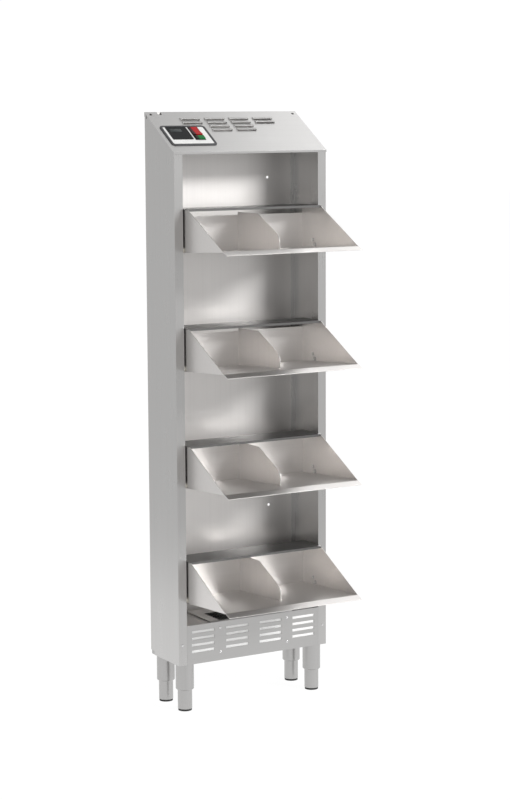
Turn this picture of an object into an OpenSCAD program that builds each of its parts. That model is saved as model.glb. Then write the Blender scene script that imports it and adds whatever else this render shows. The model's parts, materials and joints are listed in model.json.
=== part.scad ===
// Free-standing or wall-fixed footwear drying cabinet: a shallow stainless casing on four
// adjustable legs, with four tilt-out bins and a heated blower in its base.
// Z = 0 is the floor, -Y is the front and the origin lies under the middle of the whole cabinet.

/* [Casing] */
// Width of the casing over its side panels
body_w = 500; // [440:1:600]
// Depth of the casing from front plane to back face
body_d = 175; // [170:1:220]
// Height of the casing's lower edge above the floor
leg_clear = 140; // [120:1:160]
// Height of the casing's front, from lower edge to hood edge
front_h = 1473.5; // [1465:0.5:1560]
// Rise of the sloping hood from front to back
hood_rise = 111; // [96:1:125]
// Thickness of the stainless sheet
sheet = 1.5; // [1.2:0.1:2]
// Width of the front stile on each side
stile_w = 26.7; // [24:0.1:34]
// Depth of the flange that turns back from each stile
stile_return = 34; // [33:0.5:40]
// Width of the flange along the rear edge of each side
rear_flange = 15; // [10:1:20]
// Height of the corner cut out of each side at the rear foot
corner_cut_h = 12; // [6:1:20]
// Depth of that corner cut
corner_cut_d = 22; // [10:1:30]
// Radius of the wall fixing holes in the back
wall_hole_r = 4; // [3:0.5:5]
// Distance between the wall holes across the back
wall_hole_x = 310; // [250:1:340]
// Distance between the wall holes up the back
wall_hole_z = 985; // [900:1:1000]
// Height of the lower wall holes above the floor
wall_hole_low = 546; // [500:1:600]

/* [Hood] */
// Height of the lip folded down along the hood's front
hood_lip = 7; // [5:0.5:10]
// Width of the flange that carries the hood on each side
hood_seat = 11; // [6:1:12]
// Length of one pressed louvre
louvre_l = 64; // [50:1:70]
// Height that a louvre stands above the hood
louvre_h = 4.2; // [2:0.1:6]
// Depth of a louvre along the slope
louvre_d = 11; // [8:0.5:14]
// Distance between louvre rows along the slope
louvre_row = 19; // [17:0.5:21]
// Distance between louvre columns
louvre_col = 80; // [74:1:82]
// Place of the uppermost louvre row along the slope
louvre_top = 169; // [165:1:172]
// Distance of the first louvre column's middle from the control panel's right edge
louvre_in = -27; // [-30:1:-20]
// Radius of the two rear corner holes
hood_hole_r = 4.5; // [3:0.5:6]
// Distance of those holes from the casing's sides
hood_hole_x = 13.4; // [12:0.1:20]
// Distance of those holes from the hood's rear edge
hood_hole_y = 14; // [11:0.5:16]
// Width of the cable notch in the hood's rear edge
notch_w = 12; // [8:1:16]
// Distance of that notch from the casing's left side
notch_x = 44; // [36:1:60]
// Depth of the straight part of that notch
notch_d = 4; // [2:0.5:5]
// Height of the tabs that the hood's rear corners fold down
hood_tab = 11; // [8:0.5:12]

/* [Bins] */
// Height of the lowest bin's front lip above the floor
lip_low = 337.5; // [337.5:0.5:345]
// Distance from one bin to the next
bin_pitch = 336; // [334:0.5:340]
// Reach of the lip in front of the casing
bin_reach = 221.5; // [200:0.5:224]
// Distance of the bin's back wall behind the front plane
bin_back = 79; // [60:1:80]
// Height of the bin's cheeks above the lip
cheek_h = 107; // [95:1:108]
// Distance that the cheek's flat top runs out in front
cheek_top = 20.8; // [15:0.1:30]
// Height of the bin's back wall above the lip
bin_wall_h = 83; // [60:1:88]
// Drop of the bin floor from the lip to the back wall
floor_drop = 19; // [10:0.5:20]
// Forward run of the flange beyond the lip
flange_run = 22; // [15:0.5:24]
// Drop of that flange
flange_drop = 9; // [5:0.5:12]
// Side gap between a cheek and the stile's flange
bin_gap = 3.3; // [3:0.1:5]
// Height of the hem under the cover's front edge
cover_hem = 5; // [3:0.5:8]
// Height of the divider above the lip
divider_h = 91; // [70:1:93]
// Radius of the divider's front corner
divider_r = 30; // [20:1:35]
// Distance of the divider's front edge before the front plane
divider_front = 155; // [140:1:165]
// Distance that the divider's flat top runs out in front
divider_flat = 35; // [30:1:45]
// Angle at which the divider's top then falls
divider_slope = 26; // [20:1:28]
// Distance of the tilt axis behind the front plane
pivot_y = 9; // [8.5:0.1:10]
// Distance of the tilt axis below the lip
pivot_drop = 7; // [6:0.1:7.5]
// Angle that a bin tilts through from open to closed
tilt_range = 86; // [60:1:86]
// Radius of a pivot bolt's shank
pivot_r = 4; // [3:0.1:4.5]
// Radius of a stop pin's shank
stop_r = 3.8; // [3:0.1:4]
// Distance of the stop pin from the tilt axis
stop_arm = 17.5; // [17:0.1:18]
// Angle of the stop pin above the level at rest
stop_angle = 51; // [45:1:55]

/* [Legs] */
// Outer radius of a leg sleeve
sleeve_r = 26.5; // [25:0.5:28]
// Height of the sleeve's lower end above the floor
sleeve_low = 63; // [55:1:75]
// Outer radius of the foot tube
foot_r = 21; // [18:0.5:22]
// Thickness of the rubber pad
pad_h = 5; // [3:0.5:8]
// Distance of the leg axes from the casing's sides
leg_in_x = 33.5; // [31:0.5:40]
// Distance of the leg axes from the casing's front and back
leg_in_y = 28.8; // [28.6:0.1:34]
// Length that the foot tube is held inside the sleeve
foot_hold = 52; // [45:1:55]

/* [Base] */
// Height of the fascia panel
fascia_h = 115.5; // [114:0.5:118]
// Length of one fascia slot
slot_l = 75; // [60:1:78]
// Height of one fascia slot
slot_h = 8; // [5:0.5:9]
// Distance between slot rows
slot_row = 19; // [17:0.5:19]
// Distance of the outer slots from the opening's sides
slot_margin = 15.7; // [15:0.1:20]
// Height of the lowest slot row above the casing's lower edge
slot_low = 37; // [35:1:38]
// Width of the blower housing
blower_w = 276; // [260:1:280]
// Distance of the housing's front behind the casing's front plane
blower_front = 14; // [13.5:0.5:18]
// Gap between the blower housing and the back panel
blower_gap = 16.5; // [14:0.5:18]
// Radius of the crossflow impeller
impeller_r = 32; // [25:1:34]
// Length of the crossflow impeller
impeller_l = 196; // [160:1:198]
// Number of impeller blades
impeller_blades = 20; // [12:1:24]
// Radius of the impeller shaft
shaft_r = 4; // [3:0.5:5]
// Width of the outlet in the housing's top
outlet_w = 214; // [180:1:220]
// Depth of that outlet
outlet_d = 93; // [80:1:100]
// Distance between the bars of the outlet guard
guard_pitch = 8; // [6:0.5:10]
// Width and thickness of one bar
guard_bar = 1.5; // [1.2:0.1:2]
// Height of the heater's axis above the casing's lower edge
heater_up = 100; // [99:0.5:101]
// Distance between the heater's fins
fin_pitch = 7; // [5:0.5:10]
// Depth of one fin
fin_d = 46; // [44:1:50]
// Height of one fin
fin_h = 12; // [10:0.5:13]
// Thickness of the filter mat with its gap to the fascia
mat_d = 6; // [4:0.5:7]

/* [Controls] */
// Width of the control panel
panel_w = 143; // [140:1:150]
// Depth of the control panel along the slope
panel_d = 98; // [96:1:99]
// Distance of the panel from the casing's left side
panel_in = 12; // [12:1:15]
// Place of the panel's lower edge along the slope
panel_y = 33; // [32:1:34]
// Width of the rubber frame
gasket_w = 5; // [4:0.5:7]
// Height of the rubber frame above the hood
gasket_h = 3; // [2:0.1:4]
// Outer corner radius of the rubber frame
gasket_r = 10; // [8:0.5:12]
// Width of the display window
window_w = 66; // [60:1:68]
// Depth of the display window
window_d = 65; // [55:1:66]
// Place of the window from the panel's left edge
window_x = 14; // [12:0.5:15]
// Place of the window from the panel's lower edge
window_y = 28; // [26:0.5:28]
// Place of the switches from the panel's left edge
switch_x = 87; // [86:0.5:100]
// Place of the rocker from the panel's lower edge
rocker_y = 46.3; // [46.3:0.1:47]
// Place of the button from the panel's lower edge
button_y = 26.2; // [24:0.1:26.2]
// Width of the rocker and of the button
switch_w = 29; // [24:0.5:30]
// Length of the rocker
rocker_l = 44; // [36:1:44]
// Length of the push button
button_l = 16.5; // [12:0.5:17]
// Angle at which the rocker rests
rocker_rest = 5; // [4:0.5:6]
// Travel of the push button
button_travel = 1.5; // [1:0.1:2]
// Depth of the control housing below the hood
housing_h = 21; // [20:0.5:22]

/* [Clearances] */
// Radial running clearance of shafts in their bores
run_clear = 0.05; // [0.02:0.01:0.1]
// Gap between parts that lie side by side
seat_gap = 0.3; // [0.2:0.05:0.4]
// Gap under the pieces that are seated on the hood
face_gap = 0.02; // [0.01:0.01:0.05]
// Gap round flat pieces that are fitted into one another
fit_gap = 0.1; // [0.1:0.05:0.2]
// Radial play of a stop pin in its arc slot
slot_play = 0.5; // [0.4:0.1:0.7]

/* [Hidden] */

steel = [0.74, 0.74, 0.73];
dark_steel = [0.55, 0.55, 0.54];
black = [0.06, 0.06, 0.06];
rubber = [0.2, 0.2, 0.21];
white = [0.93, 0.93, 0.92];
red = [0.75, 0.06, 0.05];
green = [0.08, 0.5, 0.2];
board_green = [0.1, 0.3, 0.15];
nylon = [0.85, 0.84, 0.8];

eps = 0.01;
bore_fn = 64;

half_w = body_w / 2;
opening_w = body_w - 2 * stile_w;
slope = atan(hood_rise / body_d);
slope_len = body_d / cos(slope);
eave_z = leg_clear + front_h - sheet / cos(slope);
flange_tip = sheet / 2 * flange_drop / norm([flange_run, flange_drop]);
front_y = (bin_reach + flange_run + flange_tip - body_d) / 2;
back_in = body_d - sheet;

bin_w = opening_w - 2 * bin_gap;
slot_col = (opening_w - 2 * slot_margin - slot_l) / 3;
cheek_x = bin_w / 2 - sheet / 2;
bin_rear = bin_back + sheet / 2;
floor_angle = atan(floor_drop / (bin_reach + bin_rear));
lips = [for (i = [0:3]) lip_low + i * bin_pitch];
leg_x = half_w - leg_in_x;
legs = [
    [-leg_x, leg_in_y],
    [leg_x, leg_in_y],
    [-leg_x, body_d - leg_in_y],
    [leg_x, body_d - leg_in_y]
];

// Number of louvre rows in each column, counted down from the top.
louvre_rows = [2, 4, 4, 2];

// Control panel and what its housing holds.
panel_x = -half_w + panel_in;
louvre_x = panel_x + panel_w + louvre_in;
plate_t = 1.5;
plate_z = sheet + face_gap;
window_t = 1.2;
window_r = 3;
bezel_w = 1.2;
bezel_t = 1.4;
bezel_rim = 0.4;
pin_r = 1.5;
pin_depth = 2.2;
switch_body = 12;
key_gap = 0.6;
housing_in = 2;
gland_x = panel_x + 22;
gland_z = -11;
gland_r = 4;
gland_head_r = 7;
gland_len = 9;
gland_bore = 2.5;
conduit_w = 12;
conduit_d = 16;
conduit_t = 1.2;
conduit_y = 120;
conduit_low = 200;
conduit_top = 5;

// Base: rails, deck, filter, blower and heater.
rail_t = 2;
rail_w = 62;
rail_lip = 20;
rail_inner = half_w - sheet - rail_w;
frame_d = 10.5;
frame_edge = 8;
mat_edge = 4;
mat_lip = 3;
mat_x = slot_col * 1.5 + slot_l / 2 + mat_edge;
mat_low = slot_low - slot_h / 2 - mat_edge;
mat_high = slot_low + 3 * slot_row + slot_h / 2 + mat_edge;
lug_w = 3;
deck_t = 1.5;
deck_gap = 9;
deck_z = leg_clear + mat_high + frame_edge;
housing_t = 1.5;
housing_drop = 0.5;
housing_top = leg_clear + fascia_h - housing_drop;
blower_d = back_in - blower_gap - blower_front;
intake_in = 20;
intake_low = 22;
intake_high = 92;
outlet_in = 3;
outlet_y = blower_front + outlet_in;
rotor_in = 50;
rotor_up = 54;
rotor_y = blower_front + rotor_in;
rotor_z = leg_clear + rotor_up;
shaft_long = 23;
shaft_short = 14;
shaft_left = -impeller_l / 2 - shaft_long;
shaft_right = impeller_l / 2 + shaft_short;
heater_z = leg_clear + heater_up;

// Bevel at the foot tube's lower edge.
foot_bevel = 1;

// Screws, bolts, pins and spacers.
screw_head_r = 4.2;
screw_head_h = 1.6;
screw_r = 2;
screw_len = 6.5;
fascia_screw_x = slot_col;
screw_below = 12;
screw_above = 3.5;
fascia_screw_z = [slot_low - screw_below, slot_low + 3 * slot_row + screw_above];
stile_screw_in = 12;
stile_screw_z = 60;
bolt_head_r = 6;
bolt_head_h = 3;
bolt_tail = 4;
nut_r = 6.5;
stop_head_r = 4.6;
stop_head_h = 2.4;
stop_tail = 4;
spacer_r = 8.5;

// Puts children, drawn with the front plane at Y = 0, into the cabinet's own frame.
module cabinet() {
    translate([0, front_y, 0]) children();
}

// Draws a flat outline in the Y-Z plane as a plate of width w centred on X = 0.
module along_x(w) {
    rotate([90, 0, 90]) linear_extrude(w, center = true) children();
}

// Frame of the hood's underside: x across, y up the slope, z square to it.
module on_slope() {
    translate([0, 0, eave_z]) rotate([slope, 0, 0]) children();
}

// Unit normal, to the left, of the run from point a to point b.
function run_normal(a, b) = let (d = (b - a) / norm(b - a)) [-d[1], d[0]];

// Corner i of a path, moved sideways by h and mitred between the runs that meet there.
function mitred(path, i, h) =
    let (last = len(path) - 1, j = max(i, 1), k = min(i, last - 1),
         n = run_normal(path[j - 1], path[j]) + run_normal(path[k], path[k + 1]))
    path[i] + 2 * h / (n * n) * n;

// Folded sheet seen on its edge, with its centre line along a path of corners.
module folded(path, t) {
    last = len(path) - 1;
    polygon(concat(
        [for (i = [0 : last]) mitred(path, i, t / 2)],
        [for (i = [last : -1 : 0]) mitred(path, i, -t / 2)]
    ));
}

// Box given by its lowest and highest corners.
module block(low, high) {
    translate(low) cube(high - low);
}

// Plate with rounded corners, from z = 0 upwards.
module rounded_plate(w, d, h, r) {
    for (x = [r, w - r])
        for (y = [r, d - r])
            translate([x, y, 0]) cylinder(r = r, h = h, $fn = 32);
    translate([r, 0, 0]) cube([w - 2 * r, d, h]);
    translate([0, r, 0]) cube([w, d - 2 * r, h]);
}

// Round bar along X from x0 to x1.
module bar_x(x0, x1, r, fn = bore_fn) {
    translate([x0, 0, 0]) rotate([0, 90, 0]) cylinder(r = r, h = x1 - x0, $fn = fn);
}

// Everything above the hood's underside, used to trim the panels below it.
module above_hood() {
    on_slope()
        translate([-body_w, -body_d, 0]) cube([2 * body_w, 3 * body_d, 2 * body_d]);
}

// Arc slot around a tilt axis, which the stop pin travels along.
module stop_slot(lip) {
    slot_r = stop_r + slot_play;
    end_trim = 0.05;
    translate([0, pivot_y, lip - pivot_drop]) {
        for (a = [stop_angle, stop_angle - tilt_range])
            rotate([a, 0, 0])
                translate([0, stop_arm, 0])
                    bar_x(opening_w / 2 - 1, opening_w / 2 + sheet + 1, slot_r - end_trim);
        rotate([0, 90, 0]) rotate([0, 0, 90 + stop_angle - tilt_range])
            translate([0, 0, opening_w / 2 - 1])
                rotate_extrude(angle = tilt_range, $fn = bore_fn)
                    translate([stop_arm - slot_r, 0]) square([2 * slot_r, sheet + 2]);
    }
}

// Right-hand side panel: wall, front stile with its return, rear flange and hood seat.
module side_panel() {
    plan = [
        [half_w - rear_flange, back_in - sheet / 2],
        [half_w - sheet / 2, back_in - sheet / 2],
        [half_w - sheet / 2, sheet / 2],
        [opening_w / 2 + sheet / 2, sheet / 2],
        [opening_w / 2 + sheet / 2, stile_return]
    ];
    seat_end = 1.2;
    difference() {
        union() {
            translate([0, 0, leg_clear])
                linear_extrude(front_h + hood_rise) folded(plan, sheet);
            on_slope()
                block([half_w - hood_seat, sheet / 4, -sheet],
                      [half_w - sheet / 2, (back_in - seat_end) / cos(slope), sheet]);
        }
        above_hood();
        block([opening_w / 2, body_d - corner_cut_d, 0],
              [half_w + 1, body_d + 1, leg_clear + corner_cut_h]);
        block([opening_w / 2 - 1, sheet, 0],
              [half_w - sheet, stile_return + 1, leg_clear + rail_t + seat_gap]);
        block([opening_w / 2 - 1, sheet, leg_clear + front_h - hood_lip],
              [opening_w / 2 + sheet + eps, stile_return + 1, leg_clear + front_h + hood_rise]);
        for (lip = lips) {
            translate([0, pivot_y, lip - pivot_drop])
                bar_x(opening_w / 2 - 1, opening_w / 2 + sheet + 1, pivot_r + run_clear);
            stop_slot(lip);
        }
        translate([half_w - stile_screw_in, -1, leg_clear + stile_screw_z])
            rotate([-90, 0, 0]) cylinder(r = screw_r + run_clear, h = sheet + 2, $fn = 32);
    }
}

module side_panel_right() {
    color(steel) cabinet() side_panel();
}

module side_panel_left() {
    color(steel) cabinet() mirror([1, 0, 0]) side_panel();
}

// Flat back with four holes for wall fixings.
module back_panel() {
    color(steel) cabinet() difference() {
        block([-half_w, back_in, leg_clear + corner_cut_h],
              [half_w, body_d, leg_clear + front_h + hood_rise]);
        above_hood();
        for (x = [-wall_hole_x / 2, wall_hole_x / 2])
            for (z = [wall_hole_low, wall_hole_low + wall_hole_z])
                translate([x, back_in - 1, z])
                    rotate([-90, 0, 0]) cylinder(r = wall_hole_r, h = sheet + 2, $fn = bore_fn);
    }
}

// One pressed louvre: a raised lip that is open on its downhill side.
module louvre() {
    crest = [
        [louvre_d / 2, sheet / 2],
        [louvre_d / 4, sheet / 2 + louvre_h * 0.62],
        [-louvre_d / 4, sheet / 2 + louvre_h],
        [-louvre_d / 2, sheet / 2 + louvre_h]
    ];
    end_fill = concat(crest, [[-louvre_d / 2, sheet / 2]]);
    drawn_t = sheet * 0.7;
    along_x(louvre_l) folded(crest, drawn_t);
    for (x = [-1, 1])
        translate([x * (louvre_l - sheet) / 2, 0, 0]) along_x(sheet) polygon(end_fill);
}

module louvre_places() {
    for (c = [0 : len(louvre_rows) - 1])
        for (r = [0 : louvre_rows[c] - 1])
            translate([louvre_x + c * louvre_col, louvre_top - r * louvre_row, 0]) children();
}

// Sloping hood with its front lip, corner tabs, louvres and cut-outs.
module hood_panel() {
    ridge = sheet / 2 / cos(slope);
    cut_in = gasket_w + 1;
    tab_gap = 0.04;
    tab_in = 1;
    tab_front = body_d - hood_tab;
    tab_rear = body_d - tab_in;
    tab_front_z = eave_z + tab_front * tan(slope);
    tab_rear_z = eave_z + tab_rear * tan(slope);
    rear_y = body_d - sheet / 2 * sin(slope);
    path = [
        [-sheet / 2, leg_clear + front_h - hood_lip],
        [-sheet / 2, eave_z + ridge - sheet / 2 * tan(slope)],
        [rear_y, eave_z + ridge + rear_y * tan(slope)]
    ];
    color(steel) cabinet() {
        difference() {
            union() {
                along_x(body_w + 2 * sheet) folded(path, sheet);
                for (s = [-1, 1])
                    translate([s * (half_w + sheet / 2 + tab_gap / 2), 0, 0])
                        along_x(sheet - tab_gap) polygon([
                            [tab_front, tab_front_z - hood_tab],
                            [tab_rear, tab_rear_z - hood_tab],
                            [tab_rear, tab_rear_z + ridge],
                            [tab_front, tab_front_z + ridge]
                        ]);
            }
            on_slope() {
                louvre_places()
                    block([-louvre_l / 2 + sheet, -louvre_d / 2, -1],
                          [louvre_l / 2 - sheet, louvre_d / 2 - sheet, sheet + 1]);
                for (s = [-1, 1])
                    translate([s * (half_w - hood_hole_x), slope_len - hood_hole_y, -1])
                        cylinder(r = hood_hole_r, h = sheet + 2, $fn = bore_fn);
                translate([panel_x + cut_in, panel_y + cut_in, -1])
                    cube([panel_w - 2 * cut_in, panel_d - 2 * cut_in, sheet + 2]);
                translate([-half_w + notch_x, slope_len - notch_w / 2 - notch_d, -1]) {
                    cylinder(d = notch_w, h = sheet + 2, $fn = 32);
                    translate([-notch_w / 2, 0, 0]) cube([notch_w, notch_w, sheet + 2]);
                }
            }
        }
        on_slope() louvre_places() louvre();
    }
}

// Rubber frame around the control panel.
module control_gasket() {
    color(rubber) cabinet() on_slope() translate([panel_x, panel_y, plate_z]) difference() {
        rounded_plate(panel_w, panel_d, gasket_h, gasket_r);
        translate([gasket_w, gasket_w, -1])
            rounded_plate(panel_w - 2 * gasket_w, panel_d - 2 * gasket_w,
                          gasket_h + 2, gasket_r - gasket_w);
    }
}

// Places children at a switch's lower left corner on the panel's top face.
module on_panel(x, y) {
    on_slope() translate([panel_x + x, panel_y + y, plate_z + plate_t]) children();
}

// Hole in the panel for one switch of length l.
module switch_hole(y, l) {
    rim = bezel_w + fit_gap;
    translate([switch_x - rim, y - rim, -1])
        cube([switch_w + 2 * rim, l + 2 * rim, plate_t + 2]);
}

// White panel plate with its two switch openings and a display opening.
module control_plate() {
    edge = gasket_w + fit_gap;
    hide = 9;
    color(white) cabinet() on_slope() translate([panel_x, panel_y, plate_z]) difference() {
        translate([edge, edge, 0])
            rounded_plate(panel_w - 2 * edge, panel_d - 2 * edge, plate_t, gasket_r - edge);
        switch_hole(rocker_y, rocker_l);
        switch_hole(button_y, button_l);
        translate([window_x + hide, window_y + hide, -1])
            cube([window_w - 2 * hide, window_d - 2 * hide, plate_t + 2]);
    }
}

// Black display window on the panel.
module display_window() {
    color(black) cabinet() on_panel(window_x, window_y)
        rounded_plate(window_w, window_d, window_t, window_r);
}

// Circuit board on four posts, carrying the display.
module display_board() {
    board_z = -9;
    board_t = 1.6;
    board_in = 3;
    screen_in = 8;
    post_in = 4;
    post_r = 2.5;
    floor_z = -housing_h + housing_t;
    board_w = window_w - 2 * board_in;
    board_d = window_d - 2 * board_in;
    color(board_green) cabinet() on_slope()
        translate([panel_x + window_x + board_in, panel_y + window_y + board_in, 0]) {
            translate([0, 0, board_z]) cube([board_w, board_d, board_t]);
            translate([screen_in, screen_in, board_z + board_t])
                cube([board_w - 2 * screen_in, board_d - 2 * screen_in,
                      sheet - board_z - board_t]);
            for (x = [post_in, board_w - post_in])
                for (y = [post_in, board_d - post_in])
                    translate([x, y, floor_z])
                        cylinder(r = post_r, h = board_z - floor_z, $fn = 24);
        }
}

// Frame and open body that holds one switch key of length l, with or without pin holes.
module switch_bezel(l, with_pins) {
    rim = bezel_w + bezel_rim;
    difference() {
        union() {
            translate([-rim, -rim, 0]) cube([switch_w + 2 * rim, l + 2 * rim, bezel_t]);
            translate([-bezel_w, -bezel_w, -switch_body])
                cube([switch_w + 2 * bezel_w, l + 2 * bezel_w, switch_body + eps]);
        }
        translate([0, 0, -switch_body + bezel_w]) cube([switch_w, l, switch_body + bezel_t]);
        if (with_pins)
            translate([0, l / 2, -pin_depth])
                bar_x(-bezel_w - 1, switch_w + bezel_w + 1, pin_r + run_clear, 32);
    }
}

module rocker_bezel() {
    color(black) cabinet() on_panel(switch_x, rocker_y) switch_bezel(rocker_l, true);
}

module button_bezel() {
    color(black) cabinet() on_panel(switch_x, button_y) switch_bezel(button_l, false);
}

// Mains rocker: a shallow V on two side pins, drawn pressed at its upper end.
module power_rocker() {
    half_l = rocker_l / 2 - key_gap;
    belly = 2.6;
    end_low = 1;
    end_high = pin_depth + 3.4;
    mid_high = pin_depth + 2.2;
    pin_reach = switch_w / 2 + bezel_w * 0.7;
    color(red) cabinet() on_panel(switch_x, rocker_y)
        translate([switch_w / 2, rocker_l / 2, -pin_depth]) rotate([-rocker_rest, 0, 0]) {
            along_x(switch_w - key_gap) polygon([
                [-half_l, -end_low], [0, -belly], [half_l, -end_low],
                [half_l, end_high], [0, mid_high], [-half_l, end_high]
            ]);
            bar_x(-pin_reach, pin_reach, pin_r, 32);
        }
}

// Spring-return push button.
module start_button() {
    spring_h = 0.5;
    foot = -switch_body + bezel_w + button_travel + spring_h;
    crown = 5;
    color(green) cabinet() on_panel(switch_x, button_y)
        translate([key_gap / 2, key_gap / 2, foot])
            cube([switch_w - key_gap, button_l - key_gap, crown - foot]);
}

// Tray below the hood that houses the switches, the board and the terminals.
module control_housing() {
    low_x = panel_x + housing_in;
    low_y = panel_y + housing_in;
    w = panel_w - 2 * housing_in;
    d = panel_d - 2 * housing_in;
    color(dark_steel) cabinet() on_slope() difference() {
        translate([low_x, low_y, -housing_h]) cube([w, d, housing_h]);
        translate([low_x + housing_t, low_y + housing_t, -housing_h + housing_t])
            cube([w - 2 * housing_t, d - 2 * housing_t, housing_h]);
        translate([gland_x, low_y + d - housing_t - 1, gland_z])
            rotate([-90, 0, 0]) cylinder(r = gland_r + run_clear, h = housing_t + 2, $fn = 32);
    }
}

// Block of screw terminals for the mains wires.
module terminal_block() {
    size = [34, 12, 9];
    ways = 4;
    pitch = 8.2;
    recess = 5;
    from_edge = 9;
    color(nylon) cabinet() on_slope()
        translate([panel_x + switch_x, panel_y + from_edge, -housing_h + housing_t])
            difference() {
                cube(size);
                for (i = [0 : ways - 1])
                    translate([size[0] / 2 + (i - (ways - 1) / 2) * pitch,
                               size[1] / 2, size[2] - recess])
                        cylinder(r = 2, h = recess + 1, $fn = 24);
            }
}

// Gland that leads the wiring out of the control housing, with a hexagonal head.
module cable_gland() {
    wall_y = panel_y + panel_d - housing_in;
    tail = housing_t + 2;
    color(black) cabinet() on_slope()
        translate([gland_x, wall_y, gland_z]) rotate([-90, 0, 0]) difference() {
            union() {
                cylinder(r = gland_head_r, h = gland_len, $fn = 6);
                translate([0, 0, -tail]) cylinder(r = gland_r, h = tail + eps, $fn = 32);
            }
            translate([0, 0, -tail - 1])
                cylinder(r = gland_bore, h = gland_len + tail + 2, $fn = 32);
        }
}

// The three runs of the wiring conduit, with their walls moved in by t. The end at the blower
// housing is left open.
module conduit_runs(t) {
    x0 = -half_w + sheet;
    y1 = conduit_y + conduit_d;
    head_y = panel_y + panel_d - housing_in + gland_len + seat_gap;
    head_x = x0 + conduit_w / 3;
    head_z = eave_z + (head_y + conduit_d / 2) * sin(slope) + gland_z * cos(slope) + conduit_top;
    block([x0 + t, conduit_y + t, conduit_low + t], [x0 + conduit_w - t, y1 - t, head_z - t]);
    block([x0 + t, conduit_y + t, conduit_low + t],
          [-blower_w / 2 + (t > 0 ? 1 : 0), y1 - t, conduit_low + conduit_w - t]);
    on_slope()
        block([head_x + t, head_y + t, gland_z - conduit_d / 2 + t],
              [gland_x + conduit_d / 2 - t, head_y + conduit_d - t, gland_z + conduit_d / 2 - t]);
}

// Wiring conduit: from the control housing down the left side to the blower housing.
module wiring_conduit() {
    color(dark_steel) cabinet() difference() {
        conduit_runs(0);
        conduit_runs(conduit_t);
        on_slope() translate([gland_x, panel_y + panel_d, gland_z])
            rotate([-90, 0, 0]) cylinder(r = gland_bore, h = conduit_d, $fn = 32);
    }
}

// Places children at each slot of the fascia.
module slot_places() {
    for (c = [-1.5 : 1 : 1.5])
        for (r = [0:3])
            translate([c * slot_col, 0, leg_clear + slot_low + r * slot_row]) children();
}

module fascia_screw_places() {
    for (x = [-fascia_screw_x, fascia_screw_x])
        for (z = fascia_screw_z)
            translate([x, 0, leg_clear + z]) rotate([-90, 0, 0]) children();
}

// Slotted panel across the front of the base.
module fascia_panel() {
    w = opening_w / 2 - 2 * fit_gap;
    color(steel) cabinet() difference() {
        block([-w, 0, leg_clear], [w, sheet, leg_clear + fascia_h]);
        slot_places() block([-slot_l / 2, -1, -slot_h / 2], [slot_l / 2, sheet + 1, slot_h / 2]);
        fascia_screw_places()
            translate([0, 0, -1]) cylinder(r = screw_r + run_clear, h = sheet + 2, $fn = 32);
    }
}

// One screw along +Z with its domed head below Z = 0.
module screw(shank) {
    rotate_extrude($fn = 48) polygon([
        [0, -screw_head_h], [screw_head_r * 0.55, -screw_head_h],
        [screw_head_r * 0.88, -screw_head_h * 0.7], [screw_head_r, 0],
        [screw_r, 0], [screw_r, shank], [0, shank]
    ]);
}

// Screws that hold the fascia and the stiles' lower ends.
module casing_screws() {
    color(steel) cabinet() {
        fascia_screw_places() screw(screw_len);
        for (s = [-1, 1])
            translate([s * (half_w - stile_screw_in), 0, leg_clear + stile_screw_z])
                rotate([-90, 0, 0]) screw(screw_len);
    }
}

// White intake filter behind the fascia's slots, notched round the upper screw lugs.
module filter_mat() {
    color(white) cabinet() difference() {
        block([-mat_x, sheet + fit_gap, leg_clear + mat_low],
              [mat_x, sheet + mat_d, leg_clear + mat_high]);
        for (x = [-fascia_screw_x, fascia_screw_x])
            block([x - lug_w - seat_gap, 0, leg_clear + fascia_screw_z[1] - lug_w - seat_gap],
                  [x + lug_w + seat_gap, sheet + mat_d + 1, leg_clear + mat_high + 1]);
    }
}

// Frame that holds the filter against the fascia.
module filter_frame() {
    w = opening_w / 2 - seat_gap;
    y1 = sheet + mat_d + fit_gap;
    color(dark_steel) cabinet() difference() {
        union() {
            difference() {
                block([-w, sheet, leg_clear + mat_low - frame_edge],
                      [w, frame_d, leg_clear + mat_high + frame_edge]);
                block([-mat_x - fit_gap, 0, leg_clear + mat_low - fit_gap],
                      [mat_x + fit_gap, y1, leg_clear + mat_high + fit_gap]);
                block([-mat_x + mat_lip, 0, leg_clear + mat_low + mat_lip],
                      [mat_x - mat_lip, frame_d + 1, leg_clear + mat_high - mat_lip]);
            }
            for (x = [-fascia_screw_x, fascia_screw_x])
                block([x - lug_w, sheet, leg_clear + fascia_screw_z[1] - lug_w],
                      [x + lug_w, frame_d, leg_clear + mat_high + 1]);
        }
        fascia_screw_places() cylinder(r = screw_r + run_clear, h = frame_d + 1, $fn = 32);
    }
}

// Right-hand rail that carries two legs and one end of the blower housing.
module leg_rail() {
    x1 = half_w - sheet;
    y1 = back_in - sheet - seat_gap;
    block([x1 - rail_w, sheet, leg_clear], [x1, y1, leg_clear + rail_t]);
    block([x1 - rail_t, sheet, leg_clear], [x1, y1, leg_clear + rail_lip]);
}

module leg_rail_right() {
    color(dark_steel) cabinet() leg_rail();
}

module leg_rail_left() {
    color(dark_steel) cabinet() mirror([1, 0, 0]) leg_rail();
}

// Deck that closes the base round the blower housing.
module deck_plate() {
    w = opening_w / 2 - deck_gap;
    color(steel) cabinet() difference() {
        block([-w, sheet + fit_gap, deck_z], [w, back_in - seat_gap, deck_z + deck_t]);
        block([-blower_w / 2 - seat_gap, blower_front - seat_gap, deck_z - 1],
              [blower_w / 2 + seat_gap, blower_front + blower_d + seat_gap, deck_z + deck_t + 1]);
    }
}

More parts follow.
